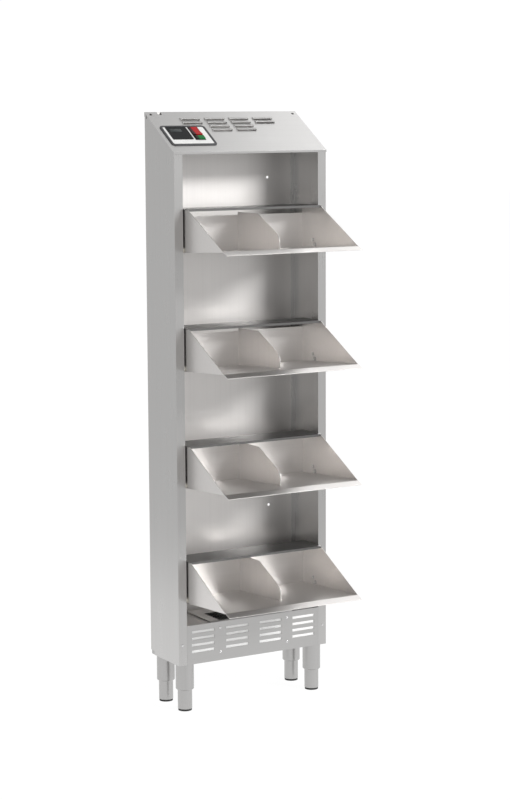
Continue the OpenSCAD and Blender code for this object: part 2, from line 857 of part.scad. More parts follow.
// Housing of the blower and heater, with its outlet on top, its intake in front and an ear
// on each rail.
module blower_housing() {
    w = blower_w / 2;
    y0 = blower_front;
    y1 = blower_front + blower_d;
    z0 = leg_clear + rail_t;
    ear_in = 30;
    ear_seat = 4;
    color(steel) cabinet() {
        difference() {
            block([-w, y0, z0], [w, y1, housing_top]);
            block([-w + housing_t, y0 + housing_t, z0 + housing_t],
                  [w - housing_t, y1 - housing_t, housing_top - housing_t]);
            block([-outlet_w / 2, outlet_y, housing_top - 3],
                  [outlet_w / 2, outlet_y + outlet_d, housing_top + 1]);
            block([-w + intake_in, y0 - 1, z0 + intake_low],
                  [w - intake_in, y0 + 2 * housing_t, z0 + intake_high]);
        }
        both_sides()
            block([w - 0.5, y0 + ear_in, z0], [rail_inner + ear_seat, y1, z0 + housing_t]);
    }
}

// Black finger guard in the outlet.
module outlet_guard() {
    gap = 2 * fit_gap;
    w = outlet_w / 2 - gap;
    y0 = outlet_y + gap;
    y1 = outlet_y + outlet_d - gap;
    z1 = housing_top - gap;
    bars = floor((2 * w - 2 * guard_bar) / guard_pitch);
    color(black) cabinet() difference() {
        block([-w, y0, z1 - guard_bar], [w, y1, z1]);
        for (i = [0 : bars - 1])
            for (half = [0, 1])
                translate([(i - (bars - 1) / 2) * guard_pitch, half * (y1 - y0) / 2, 0])
                    block([-(guard_pitch - guard_bar) / 2, y0 + guard_bar, z1 - guard_bar - 1],
                          [(guard_pitch - guard_bar) / 2, (y0 + y1) / 2 - guard_bar / 2, z1 + 1]);
    }
}

// Crossflow impeller: thin blades between three discs on a shaft.
module blower_impeller() {
    blade_in = impeller_r - 9;
    blade_out = impeller_r - 0.3;
    blade_t = 1;
    disc_t = 2;
    color(dark_steel) cabinet() translate([0, rotor_y, rotor_z]) {
        bar_x(shaft_left, shaft_right, shaft_r);
        for (x = [-impeller_l / 2, -disc_t / 2, impeller_l / 2 - disc_t])
            bar_x(x, x + disc_t, impeller_r);
        for (i = [0 : impeller_blades - 1])
            rotate([i * 360 / impeller_blades, 0, 0])
                block([-impeller_l / 2, blade_in, -blade_t / 2],
                      [impeller_l / 2, blade_out, blade_t / 2]);
    }
}

// Motor on the housing's right wall.
module blower_motor() {
    wall = blower_w / 2 - housing_t;
    hold = 8;
    face = shaft_right - hold;
    motor_r = 26;
    plate = 34;
    plate_w = 3;
    color(dark_steel) cabinet() translate([0, rotor_y, rotor_z]) difference() {
        union() {
            bar_x(face, wall, motor_r);
            block([wall - plate_w, -plate, -plate], [wall, plate, plate]);
        }
        bar_x(face - 1, shaft_right + 1, shaft_r + run_clear);
    }
}

// Bearing of the shaft's left end.
module shaft_bearing() {
    wall = -blower_w / 2 + housing_t;
    hold = 5;
    hub_r = 11;
    flange_r = 18;
    color(dark_steel) cabinet() translate([0, rotor_y, rotor_z]) difference() {
        union() {
            bar_x(wall, shaft_left + hold, hub_r);
            bar_x(wall, wall + 3, flange_r);
        }
        bar_x(shaft_left - 1, shaft_left + hold + 1, shaft_r + run_clear);
    }
}

// Finned heating element between the impeller and the outlet.
module heater_element() {
    wall = blower_w / 2 - housing_t;
    tube_in = 14;
    tube_r = 4;
    fin_t = 0.8;
    fins = floor(outlet_w / fin_pitch);
    color(steel) cabinet() {
        for (y = [rotor_y - tube_in, rotor_y + tube_in])
            translate([0, y, heater_z]) bar_x(-wall, wall, tube_r, 32);
        for (i = [0 : fins - 1])
            translate([(i - (fins - 1) / 2) * fin_pitch, rotor_y, heater_z])
                block([-fin_t / 2, -fin_d / 2, -fin_h / 2], [fin_t / 2, fin_d / 2, fin_h / 2]);
    }
}

// Safety thermostat on the housing's left wall.
module thermostat() {
    wall = -blower_w / 2;
    body_r = 9;
    body_l = 9;
    behind_rotor = 25;
    above_rotor = 26;
    tag = [8, 0.8, 6];
    tag_y = 4;
    color(black) cabinet() translate([0, rotor_y + behind_rotor, rotor_z + above_rotor]) {
        bar_x(wall - body_l, wall, body_r, 48);
        for (y = [-tag_y, tag_y])
            translate([wall - body_l + 1 - tag[0], y - tag[1] / 2, -tag[2] / 2]) cube(tag);
    }
}

// One leg sleeve, bored for its foot tube.
module leg_sleeve(i) {
    bore_r = foot_r + run_clear;
    bevel = 2;
    color(steel) cabinet() translate(legs[i]) rotate_extrude($fn = 96) polygon([
        [bore_r, sleeve_low], [sleeve_r - bevel, sleeve_low],
        [sleeve_r, sleeve_low + bevel], [sleeve_r, leg_clear],
        [0, leg_clear], [0, leg_clear - rail_t], [bore_r, leg_clear - rail_t]
    ]);
}

// One foot tube, closed at its lower end.
module foot_tube(i) {
    wall = 2;
    floor_t = 3;
    color(steel) cabinet() translate(legs[i]) rotate_extrude($fn = 96) polygon([
        [0, pad_h], [foot_r - foot_bevel, pad_h], [foot_r, pad_h + foot_bevel],
        [foot_r, sleeve_low + foot_hold], [foot_r - wall, sleeve_low + foot_hold],
        [foot_r - wall, pad_h + floor_t], [0, pad_h + floor_t]
    ]);
}

// One rubber pad.
module foot_pad(i) {
    color(black) cabinet() translate(legs[i]) cylinder(r = foot_r - foot_bevel, h = pad_h, $fn = 96);
}

// Places children, drawn with the lip's height at Z = 0, at one bin.
module at_bin(i) {
    cabinet() translate([0, 0, lips[i]]) children();
}

// Places children, drawn for the right side, on both sides.
module both_sides() {
    for (s = [0, 1]) mirror([s, 0, 0]) children();
}

// Folded bin: flange, floor and back wall with a cheek at each side.
module bin_shell(i) {
    path = [
        [-bin_reach - flange_run, -flange_drop],
        [-bin_reach, 0],
        [bin_rear, -floor_drop],
        [bin_rear, bin_wall_h]
    ];
    cheek = [
        [-bin_reach, 0],
        [-cheek_top, cheek_h],
        [bin_rear + sheet / 2, cheek_h],
        [bin_rear + sheet / 2, -floor_drop]
    ];
    color(steel) at_bin(i) difference() {
        union() {
            along_x(bin_w) folded(path, sheet);
            for (s = [-1, 1]) translate([s * cheek_x, 0, 0]) along_x(sheet) polygon(cheek);
        }
        translate([0, pivot_y, -pivot_drop]) both_sides() {
            bar_x(cheek_x - sheet, cheek_x + sheet, pivot_r + run_clear);
            rotate([stop_angle, 0, 0]) translate([0, stop_arm, 0])
                bar_x(cheek_x - sheet, cheek_x + sheet, stop_r + run_clear);
        }
    }
}

// Cover over the bin's rear half, lying on the cheeks, with a hem between them.
module bin_cover(i) {
    side_gap = 1;
    hem_x = bin_w / 2 - sheet - 2 * fit_gap;
    half_cover = opening_w / 2 - side_gap;
    color(steel) at_bin(i) {
        block([-half_cover, -cheek_top, cheek_h],
              [half_cover, bin_rear + sheet / 2, cheek_h + sheet]);
        block([-hem_x, -cheek_top, cheek_h - cover_hem],
              [hem_x, -cheek_top + sheet, cheek_h + eps]);
    }
}

// Height of the bin floor's upper face at a distance behind the front plane.
function floor_at(y) = -(y + bin_reach) * tan(floor_angle) + sheet / 2 / cos(floor_angle);

// Divider with a sloping top edge and a rounded front corner.
module bin_divider(i) {
    arc_y = -divider_front + divider_r;
    drop = (arc_y - divider_r * sin(divider_slope) + divider_flat) * tan(divider_slope);
    arc_z = divider_h + drop - divider_r * cos(divider_slope);
    steps = 12;
    arc = [for (k = [0 : steps])
        let (a = 90 + divider_slope + k * (90 - divider_slope) / steps)
        [arc_y + divider_r * cos(a), arc_z + divider_r * sin(a)]];
    outline = concat(
        [[bin_back, floor_at(bin_back)], [bin_back, divider_h], [-divider_flat, divider_h]],
        arc,
        [[-divider_front, floor_at(-divider_front)]]
    );
    color(steel) at_bin(i) along_x(sheet) polygon(outline);
}

// Two stop pins that are fixed in a bin's cheeks and run in the stiles' arc slots.
module stop_pins(i) {
    inner = bin_w / 2 - sheet;
    color(steel) at_bin(i) translate([0, pivot_y, -pivot_drop]) both_sides()
        rotate([stop_angle, 0, 0]) translate([0, stop_arm, 0]) {
            bar_x(inner - stop_head_h, inner, stop_head_r, 48);
            bar_x(inner, opening_w / 2 + sheet + stop_tail, stop_r);
        }
}

// Shoulder bolts that the bins tilt on, with their nuts behind the stiles' returns.
module pivot_bolts() {
    inner = bin_w / 2 - sheet - fit_gap;
    nut = opening_w / 2 + sheet;
    color(steel) for (i = [0:3]) at_bin(i)
        translate([0, pivot_y, -pivot_drop]) both_sides() {
            bar_x(inner - bolt_head_h, inner, bolt_head_r, 48);
            bar_x(inner - eps, nut + bolt_tail, pivot_r);
            bar_x(nut, nut + bolt_tail, nut_r, 6);
        }
}

// Nylon spacers between the cheeks and the stiles' returns.
module pivot_spacers() {
    color(nylon) for (i = [0:3]) at_bin(i)
        translate([0, pivot_y, -pivot_drop]) both_sides() difference() {
            bar_x(bin_w / 2 + fit_gap, opening_w / 2 - fit_gap, spacer_r, 48);
            bar_x(bin_w / 2 - 1, opening_w / 2 + 1, pivot_r + run_clear);
        }
}

side_panel_left();
side_panel_right();
back_panel();
hood_panel();
control_gasket();
control_plate();
display_window();
display_board();
power_rocker();
rocker_bezel();
start_button();
button_bezel();
control_housing();
terminal_block();
cable_gland();
wiring_conduit();
fascia_panel();
casing_screws();
filter_mat();
filter_frame();
leg_rail_left();
leg_rail_right();
deck_plate();
blower_housing();
outlet_guard();
blower_impeller();
blower_motor();
shaft_bearing();
heater_element();
thermostat();
for (i = [0:3]) {
    leg_sleeve(i);
    foot_tube(i);
    foot_pad(i);
    bin_shell(i);
    bin_cover(i);
    bin_divider(i);
    stop_pins(i);
}
pivot_bolts();
pivot_spacers();
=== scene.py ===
"""Footwear drying cabinet: finishes, fine detail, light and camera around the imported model.

Everything is in metres in the model's own frame: the floor is z = 0 and the open front faces -y.
"""
import json
import math

import bmesh
import bpy
from mathutils import Matrix, Vector, noise


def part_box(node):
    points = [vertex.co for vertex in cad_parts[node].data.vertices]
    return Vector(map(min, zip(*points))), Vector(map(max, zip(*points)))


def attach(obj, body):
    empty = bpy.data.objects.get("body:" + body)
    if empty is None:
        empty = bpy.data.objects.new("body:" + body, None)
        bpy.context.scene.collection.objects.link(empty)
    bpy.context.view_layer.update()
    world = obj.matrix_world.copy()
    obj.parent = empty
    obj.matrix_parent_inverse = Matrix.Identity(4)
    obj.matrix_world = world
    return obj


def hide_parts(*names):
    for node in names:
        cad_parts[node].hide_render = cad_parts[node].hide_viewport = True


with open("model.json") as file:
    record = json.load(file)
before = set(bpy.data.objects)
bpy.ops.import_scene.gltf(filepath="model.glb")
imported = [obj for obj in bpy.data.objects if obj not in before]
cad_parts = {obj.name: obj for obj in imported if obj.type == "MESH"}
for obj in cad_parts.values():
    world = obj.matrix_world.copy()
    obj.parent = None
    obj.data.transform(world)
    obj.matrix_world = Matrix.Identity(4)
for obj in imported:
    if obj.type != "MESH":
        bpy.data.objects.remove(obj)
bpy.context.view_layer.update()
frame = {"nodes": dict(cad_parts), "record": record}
nodes = frame["nodes"]
MM = 0.001
AXES = "xyz"
FRONT, BACK, DOWN = (0, -1, 0), (0, 1, 0), (0, 0, -1)
NUMBERS = range(1, 5)

# ---------------------------------------------------------------- shader nodes


def feed(tree, socket, value):
    """Links an output to a socket, or sets the socket to a constant."""
    if isinstance(value, bpy.types.NodeSocket):
        tree.links.new(value, socket)
    else:
        socket.default_value = value


def add_node(tree, kind, inputs=None, **settings):
    """Adds a node, sets its options and feeds its inputs by name or number."""
    node = tree.nodes.new(kind)
    for key, value in settings.items():
        setattr(node, key, value)
    for key, value in (inputs or {}).items():
        feed(tree, node.inputs[key], value)
    return node


def map_range(tree, value, source, target, **settings):
    """Maps a value from one pair of limits to another."""
    inputs = {"Value": value, "From Min": source[0], "From Max": source[1]}
    inputs.update({"To Min": target[0], "To Max": target[1]})
    return add_node(tree, "ShaderNodeMapRange", inputs, **settings).outputs["Result"]


def vector_math(tree, operation, first, second=None):
    """Output of a vector maths node."""
    inputs = {0: first} if second is None else {0: first, 1: second}
    node = add_node(tree, "ShaderNodeVectorMath", inputs, operation=operation)
    return node.outputs["Value" if operation == "DOT_PRODUCT" else "Vector"]


def plain_math(tree, operation, *values):
    """Output of a maths node."""
    return add_node(tree, "ShaderNodeMath", dict(enumerate(values)), operation=operation).outputs[0]


def mix_colours(tree, share, first, second, **settings):
    """Colour between two colours; inputs 6 and 7 of the mix node are its colours."""
    inputs = {"Factor": share, 6: first, 7: second}
    return add_node(tree, "ShaderNodeMix", inputs, data_type="RGBA", **settings).outputs[2]


# ---------------------------------------------------------------- materials


class Finish:
    """A procedural material that is built node by node over a Principled surface."""

    def __init__(self, name, colour, roughness, metallic=0.0, **constants):
        self.material = bpy.data.materials.new(name)
        self.material.use_nodes = True
        self.tree = self.material.node_tree
        self.surface = self.tree.nodes["Principled BSDF"]
        self.colour = (*colour, 1.0)
        self.roughness = roughness
        self.set("Base Color", self.colour)
        self.set("Roughness", roughness)
        self.set("Metallic", metallic)
        for socket, value in constants.items():
            self.set(socket.replace("_", " "), value)
        self.place = self.add("ShaderNodeTexCoord").outputs["Object"]

    def set(self, socket, value):
        feed(self.tree, self.surface.inputs[socket], value)

    def add(self, kind, inputs=None, **settings):
        return add_node(self.tree, kind, inputs, **settings)

    def noise(self, size, detail=2.0):
        """Noise from 0 to 1 with features of one size, or of three sizes along x, y and z."""
        sizes = size if isinstance(size, (list, tuple)) else [size] * 3
        scale = Vector([1 / length for length in sizes])
        mapping = self.add("ShaderNodeMapping", {"Vector": self.place, "Scale": scale})
        inputs = {"Vector": mapping.outputs[0], "Scale": 1.0, "Detail": detail}
        return self.add("ShaderNodeTexNoise", inputs).outputs["Fac"]

    def spread(self, value, low, high, inner=0.3):
        """Maps noise round a half to the range from low to high."""
        return map_range(self.tree, value, (inner, 1 - inner), (low, high))

    def mix(self, share, first, second):
        return mix_colours(self.tree, share, first, second)

    def vary_colour(self, value, amount):
        """Makes the base colour darker and lighter by a share of itself."""
        dark = [c * (1 - amount) for c in self.colour[:3]] + [1.0]
        light = [min(c * (1 + amount), 1.0) for c in self.colour[:3]] + [1.0]
        self.set("Base Color", self.mix(self.spread(value, 0.0, 1.0), dark, light))

    def vary_roughness(self, value, amount):
        self.set("Roughness", self.spread(value, self.roughness - amount, self.roughness + amount))

    def bump(self, height, depth, strength=1.0):
        inputs = {"Height": height, "Distance": depth, "Strength": strength}
        self.set("Normal", self.add("ShaderNodeBump", inputs).outputs["Normal"])

    def total(self, first, second, share):
        """first plus share times second."""
        return plain_math(self.tree, "MULTIPLY_ADD", second, share, first)


COOL_TINT = (1.0, 0.99, 0.978)
WARM_TINT = (1.0, 0.972, 0.95)
GRAIN_LENGTH, GRAIN_WIDTH = 90 * MM, 0.35 * MM
STREAK_LENGTH, STREAK_WIDTH = 700 * MM, 7 * MM
HANDLING_MARK = (60 * MM, 60 * MM, 90 * MM)
# cosines of the angle between a face's direction and the side painted in shade, where the painted shade starts
# and is full
PAINTED_SHADE_FROM, PAINTED_SHADE_FULL = 0.5, 0.9


def along(axis, length, width):
    """Sizes of a grain that runs along one axis."""
    return [length if letter == axis else width for letter in AXES]


def brushed(name, tone, axis, roughness, tint=COOL_TINT):
    """Brushed stainless sheet with a fine grain, broader streaks and soft handling marks."""
    finish = Finish(name, [tone * share for share in tint], roughness, metallic=1.0)
    grain = finish.noise(along(axis, GRAIN_LENGTH, GRAIN_WIDTH), detail=3.0)
    streaks = finish.noise(along(axis, STREAK_LENGTH, STREAK_WIDTH), detail=3.0)
    marks = finish.noise(HANDLING_MARK, detail=4.0)
    finish.vary_colour(finish.total(streaks, grain, share=0.35), amount=0.02)
    finish.vary_roughness(finish.total(marks, grain, share=0.5), amount=0.03)
    finish.bump(grain, depth=0.01 * MM, strength=0.4)
    return finish.material


def side_in_painted_shade(name, tone, axis, roughness, side, share, tint=COOL_TINT):
    """Brushed sheet with painted shade: its faces towards one side keep only a share of its tone."""
    material = brushed(name, tone, axis, roughness, tint)
    tree = material.node_tree
    base = tree.nodes["Principled BSDF"].inputs["Base Color"]
    sheet_colour = base.links[0].from_socket
    normal = add_node(tree, "ShaderNodeTexCoord").outputs["Normal"]
    # painted shade: the closer a face turns to the side, the darker its colour
    facing = vector_math(tree, "DOT_PRODUCT", normal, side)
    kept = map_range(tree, facing, (PAINTED_SHADE_FROM, PAINTED_SHADE_FULL), (1.0, share))
    feed(tree, base, mix_colours(tree, 1.0, sheet_colour, kept, blend_type="MULTIPLY"))
    return material


def moulded(name, colour, roughness, grain=0.4 * MM, **constants):
    """Moulded plastic with a fine spark-eroded grain."""
    finish = Finish(name, colour, roughness, **constants)
    pits = finish.noise(grain, detail=2.0)
    cloud = finish.noise(25 * MM, detail=3.0)
    finish.vary_colour(cloud, amount=0.05)
    finish.vary_roughness(cloud, amount=0.05)
    finish.bump(pits, depth=0.03 * MM, strength=0.5)
    return finish.material


def rubber(name, colour):
    """Matt rubber with dust in its grain."""
    finish = Finish(name, colour, roughness=0.62)
    dust = finish.noise(6 * MM, detail=5.0)
    pits = finish.noise(0.6 * MM, detail=3.0)
    finish.vary_colour(dust, amount=0.22)
    finish.vary_roughness(dust, amount=0.08)
    finish.bump(pits, depth=0.06 * MM, strength=0.6)
    return finish.material


def polished(name, tone):
    """Bright metal with faint turning marks."""
    finish = Finish(name, [tone] * 3, roughness=0.2, metallic=1.0)
    marks = finish.noise(1.2 * MM, detail=3.0)
    finish.vary_colour(marks, amount=0.06)
    finish.vary_roughness(marks, amount=0.06)
    return finish.material


def cast(name, tone, roughness):
    """Plain or cast metal with an uneven dull face."""
    finish = Finish(name, [tone] * 3, roughness, metallic=0.9)
    cloud = finish.noise(14 * MM, detail=5.0)
    pits = finish.noise(1.1 * MM, detail=3.0)
    finish.vary_colour(cloud, amount=0.12)
    finish.vary_roughness(cloud, amount=0.1)
    finish.bump(pits, depth=0.04 * MM, strength=0.5)
    return finish.material


BOARD_SCALE = 180.0
LACQUER, COPPER = (0.012, 0.08, 0.03, 1), (0.03, 0.2, 0.08, 1)


def circuit_board(name):
    """Green lacquer over a rectangular maze of copper."""
    finish = Finish(name, (0.02, 0.12, 0.05), roughness=0.35)
    inputs = {"Vector": finish.place, "Scale": BOARD_SCALE}
    cells = finish.add("ShaderNodeTexVoronoi", inputs, distance="CHEBYCHEV")
    tracks = finish.spread(cells.outputs["Distance"], 0.0, 1.0, inner=0.1)
    finish.set("Base Color", finish.mix(tracks, COPPER, LACQUER))
    return finish.material


FIBRE_LENGTH, FIBRE_WIDTH = 6 * MM, 0.5 * MM


def fleece(name):
    """White filter fleece with crossing fibres."""
    finish = Finish(name, (0.94, 0.94, 0.93), roughness=0.95)
    across = finish.noise(along("x", FIBRE_LENGTH, FIBRE_WIDTH), detail=3.0)
    upward = finish.noise(along("z", FIBRE_LENGTH, FIBRE_WIDTH), detail=3.0)
    fibres = finish.total(across, upward, share=1.0)
    finish.vary_colour(finish.spread(fibres, 0.0, 1.0, inner=0.0), amount=0.06)
    finish.bump(fibres, depth=0.3 * MM, strength=0.5)
    return finish.material


SEGMENT_WIDTH, SEGMENT_HEIGHT, SEGMENT_GAP = 2.6 * MM, 4.6 * MM, 0.35 * MM
SEGMENT_DARK, SEGMENT_LIGHT = (0.02, 0.023, 0.023, 1), (0.09, 0.1, 0.1, 1)
SEGMENT_GROUND = (0.028, 0.032, 0.032, 1)


def liquid_crystal(name):
    """Dark display zone with rows of faint upright segments."""
    finish = Finish(name, (0.035, 0.04, 0.04), roughness=0.3, Specular_IOR_Level=0.12)
    inputs = {"Vector": finish.place, "Scale": 1.0, "Mortar Size": SEGMENT_GAP, "Mortar Smooth": 0.3}
    inputs.update({"Brick Width": SEGMENT_WIDTH, "Row Height": SEGMENT_HEIGHT})
    bricks = finish.add("ShaderNodeTexBrick", inputs, offset=0.0)
    cloud = finish.noise(3 * MM, detail=1.0)
    lit = finish.mix(finish.spread(cloud, 0.0, 1.0), SEGMENT_DARK, SEGMENT_LIGHT)
    finish.set("Base Color", finish.mix(bricks.outputs["Fac"], lit, SEGMENT_GROUND))
    return finish.material


# share of each key's width, from its left edge, that is painted in shade
KEY_PAINTED_SHADE_SHARE = 0.3
KEY_BLUR = 0.3 * MM
KEY_SHADE = 0.85


def key_with_painted_shade(name, colour, dark, node):
    """Satin key whose left part is painted in shade and whose right part is lit."""
    low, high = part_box(node)
    split = low.x + (high.x - low.x) * KEY_PAINTED_SHADE_SHARE
    finish = Finish(name, colour, roughness=0.35, Specular_IOR_Level=0.15)
    x = finish.add("ShaderNodeSeparateXYZ", {"Vector": finish.place}).outputs["X"]
    side = map_range(finish.tree, x, (split - KEY_BLUR, split + KEY_BLUR), (0.0, 1.0))
    cloud = finish.noise(9 * MM, detail=3.0)
    shaded = (*[c * KEY_SHADE for c in colour], 1)
    lit = finish.mix(finish.spread(cloud, 0.0, 1.0), shaded, (*colour, 1))
    finish.set("Base Color", finish.mix(side, (*dark, 1), lit))
    finish.vary_roughness(cloud, amount=0.06)
    return finish.material


# each key's colour, then its colour where painted shade lies on its left part
RED, RED_IN_PAINTED_SHADE = (0.4, 0.004, 0.007), (0.03, 0.003, 0.006)
GREEN, GREEN_IN_PAINTED_SHADE = (0.004, 0.15, 0.03), (0.012, 0.02, 0.014)
WHITE, SMOKED, BLACK = (0.74, 0.74, 0.73), (0.01, 0.011, 0.012), (0.018, 0.018, 0.018)
NATURAL_NYLON = (0.72, 0.7, 0.62)
GREY_RUBBER, BLACK_RUBBER = (0.06, 0.06, 0.063), (0.02, 0.02, 0.02)

# a sheet's tone, axis of grain and roughness come first, then the side painted in shade and the share of tone
# kept there
materials = {
    "casing_steel": side_in_painted_shade("casing_steel", 0.56, "z", 0.26, FRONT, 0.88),
    "hood_steel": side_in_painted_shade("hood_steel", 0.6, "x", 0.3, FRONT, 0.72),
    "fascia_steel": brushed("fascia_steel", 0.46, "x", 0.28),
    "back_steel": side_in_painted_shade("back_steel", 0.76, "z", 0.42, BACK, 0.75, WARM_TINT),
    "bin_steel": side_in_painted_shade("bin_steel", 0.78, "x", 0.34, DOWN, 0.72, WARM_TINT),
    # the cover's low tone is painted: it stands for the dark reflection of the shaded cells, and its front faces
    # get painted shade too
    "cover_steel_painted_dark": side_in_painted_shade("cover_steel_painted_dark", 0.22, "x", 0.42, FRONT, 0.7),
    "divider_steel": side_in_painted_shade("divider_steel", 0.76, "z", 0.42, FRONT, 0.45, WARM_TINT),
    "deck_steel": brushed("deck_steel", 0.75, "x", 0.36),
    "leg_steel": brushed("leg_steel", 0.46, "z", 0.3),
    "inner_steel": brushed("inner_steel", 0.5, "x", 0.4),
    "screw_steel": polished("screw_steel", 0.7),
    "grey_rubber": rubber("grey_rubber", GREY_RUBBER),
    "pad_rubber": rubber("pad_rubber", BLACK_RUBBER),
    "white_plastic": moulded("white_plastic", WHITE, 0.45, Specular_IOR_Level=0.3),
    "display_black": moulded("display_black", SMOKED, 0.3, grain=2 * MM, Specular_IOR_Level=0.1),
    "black_plastic": moulded("black_plastic", BLACK, 0.45, Specular_IOR_Level=0.3),
    "red_plastic": key_with_painted_shade("red_plastic", RED, RED_IN_PAINTED_SHADE, "power_rocker"),
    "green_plastic": key_with_painted_shade("green_plastic", GREEN, GREEN_IN_PAINTED_SHADE, "start_button"),
    "display_zone": liquid_crystal("display_zone"),
    "circuit_board": circuit_board("circuit_board"),
    "nylon": moulded("nylon", NATURAL_NYLON, 0.45),
    "filter_fleece": fleece("filter_fleece"),
    "aluminium": cast("aluminium", 0.62, 0.35),
    "motor_metal": cast("motor_metal", 0.12, 0.5),
}

NODE_FINISH = {
    "hood_panel": "hood_steel",
    "fascia_panel": "fascia_steel",
    "deck_plate": "deck_steel",
    "blower_housing": "deck_steel",
}
NODE_FINISH.update({f"bin_cover_{number}": "cover_steel_painted_dark" for number in NUMBERS})
NODE_FINISH.update({f"bin_divider_{number}": "divider_steel" for number in NUMBERS})


def dress(obj, material):
    """Gives every face of a piece one material."""
    if not obj.material_slots:
        obj.data.materials.append(material)
    for slot in obj.material_slots:
        slot.material = material


for subpart in frame["record"]["subparts"]:
    name = subpart["node"]
    dress(nodes[name], materials[NODE_FINISH.get(name, subpart["material_slot"])])

# ---------------------------------------------------------------- softened edges

SAME_PLACE = 0.002 * MM
BEVEL_STEPS = 2
BEVEL_ANGLE = math.radians(40)
FLAT_FACE_WEIGHT = 100
SHEET_EDGE = 0.25 * MM
EDGES = {
    "control_plate": 0.4 * MM,
    "display_window": 0.5 * MM,
    "power_rocker": 0.8 * MM,
    "start_button": 0.8 * MM,
    "rocker_bezel": 0.4 * MM,
    "button_bezel": 0.4 * MM,
}
EDGES.update({f"foot_pad_{number}": 0.8 * MM for number in NUMBERS})
SHEET_SLOTS = ("casing_steel", "bin_steel")
PLAIN_EDGES = ("bin_cover", "bin_divider", "fascia_panel")


def soften_edges(obj, width):
    """Rounds the folded and cut edges of a piece so that they catch the light."""
    weld = obj.modifiers.new("weld", "WELD")
    weld.merge_threshold = SAME_PLACE
    bevel = obj.modifiers.new("edge", "BEVEL")
    bevel.width = width
    bevel.segments = BEVEL_STEPS
    bevel.limit_method = "ANGLE"
    bevel.angle_limit = BEVEL_ANGLE
    bevel.use_clamp_overlap = True
    smooth = obj.modifiers.new("shading", "WEIGHTED_NORMAL")
    smooth.mode = "FACE_AREA"
    smooth.weight = FLAT_FACE_WEIGHT


for subpart in frame["record"]["subparts"]:
    name = subpart["node"]
    if name in EDGES:
        soften_edges(nodes[name], EDGES[name])
    elif subpart["material_slot"] in SHEET_SLOTS and not name.startswith(PLAIN_EDGES):
        soften_edges(nodes[name], SHEET_EDGE)

# ---------------------------------------------------------------- helpers for fine detail


def add_piece(name, build, slot, finish=None, body="cabinet", replaced=()):
    """Makes a mesh piece from what build adds to an empty bmesh, with its slot's finish or another."""
    shape = bmesh.new()
    build(shape)
    bmesh.ops.recalc_face_normals(shape, faces=shape.faces)
    mesh = bpy.data.meshes.new(name)
    shape.to_mesh(mesh)
    shape.free()
    mesh.polygons.foreach_set("use_smooth", [True] * len(mesh.polygons))
    piece = bpy.data.objects.new(name, mesh)
    bpy.context.scene.collection.objects.link(piece)
    dress(piece, materials[finish or slot])
    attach(piece, body)
    if replaced:
        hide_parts(*replaced)
    return piece


def bridge(shape, first, second):
    """Faces between two closed loops of as many points."""
    for side, vert in enumerate(first):
        after = (side + 1) % len(first)
        shape.faces.new([vert, first[after], second[after], second[side]])


def islands(obj):
    """Boxes of a mesh's separate solids."""
    shape = bmesh.new()
    shape.from_mesh(obj.data)
    bmesh.ops.remove_doubles(shape, verts=shape.verts, dist=SAME_PLACE)
    left = set(shape.verts)
    boxes = []
    while left:
        found = {left.pop()}
        front = list(found)
        while front:
            vert = front.pop()
            for edge in vert.link_edges:
                other = edge.other_vert(vert)
                if other in left:
                    left.discard(other)
                    found.add(other)
                    front.append(other)
        low = Vector([min(vert.co[axis] for vert in found) for axis in range(3)])
        high = Vector([max(vert.co[axis] for vert in found) for axis in range(3)])
        boxes.append((low, high))
    shape.free()
    return sorted(boxes, key=lambda box: tuple(box[0]))


class SlopedBox:
    """Middle, axes and half sizes of a node that lies along the hood's slope."""

    def __init__(self, node):
        low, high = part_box(node)
        self.centre = (low + high) / 2
        joints = frame["record"]["behaviour"]["joints"]
        press = next(joint for joint in joints if joint["name"] == "button_press")
        self.up = -Vector(press["axis"]).normalized()
        self.across = Vector((1, 0, 0))
        self.rising = self.up.cross(self.across)
        sine, cosine = -self.up.y, self.up.z
        skew = cosine**2 - sine**2
        size = high - low
        self.half_w = size.x / 2
        self.half_d = (size.y * cosine - size.z * sine) / skew / 2
        self.half_h = (size.z * cosine - size.y * sine) / skew / 2

    def point(self, x, y, rise):
        """A point x across and y up the slope from the middle, at a rise over the underside."""
        return self.centre + self.across * x + self.rising * y + self.up * (rise - self.half_h)


# ---------------------------------------------------------------- display zone

ZONE_FROM_LEFT, ZONE_WIDTH = 9 * MM, 36 * MM
ZONE_FROM_TOP, ZONE_HEIGHT = 13 * MM, 14 * MM
ZONE_GAP = 0.01 * MM
# inset and rise of each outline of the pane, from its foot to its face
ZONE_RIM = ((0.0, 0.0), (0.0, 0.2 * MM), (0.35 * MM, 0.4 * MM))


def build_display_zone(shape):
    """Thin pane with bevelled rims in the upper left of the display window."""
    window = SlopedBox("display_window")
    left = -window.half_w + ZONE_FROM_LEFT
    right = left + ZONE_WIDTH
    top = window.half_d - ZONE_FROM_TOP
    bottom = top - ZONE_HEIGHT
    base = 2 * window.half_h + ZONE_GAP
    corners = ((left, bottom, 1, 1), (right, bottom, -1, 1), (right, top, -1, -1), (left, top, 1, -1))
    rings = []
    for inset, rise in ZONE_RIM:
        points = [window.point(x + sx * inset, y + sy * inset, base + rise) for x, y, sx, sy in corners]
        rings.append([shape.verts.new(point) for point in points])
    for first, second in zip(rings, rings[1:]):
        bridge(shape, first, second)
    shape.faces.new(rings[0])
    shape.faces.new(rings[-1])


# ---------------------------------------------------------------- panel gasket

# how far the bead reaches in and out from its seat's outer edge
GASKET_WIDTH, GASKET_LIP = 6.8 * MM, 1.6 * MM
GASKET_CORNER = 10 * MM
GASKET_STEPS = 12
# 1 gives a half ellipse, and less gives a squarer bead
GASKET_FULLNESS = 0.55


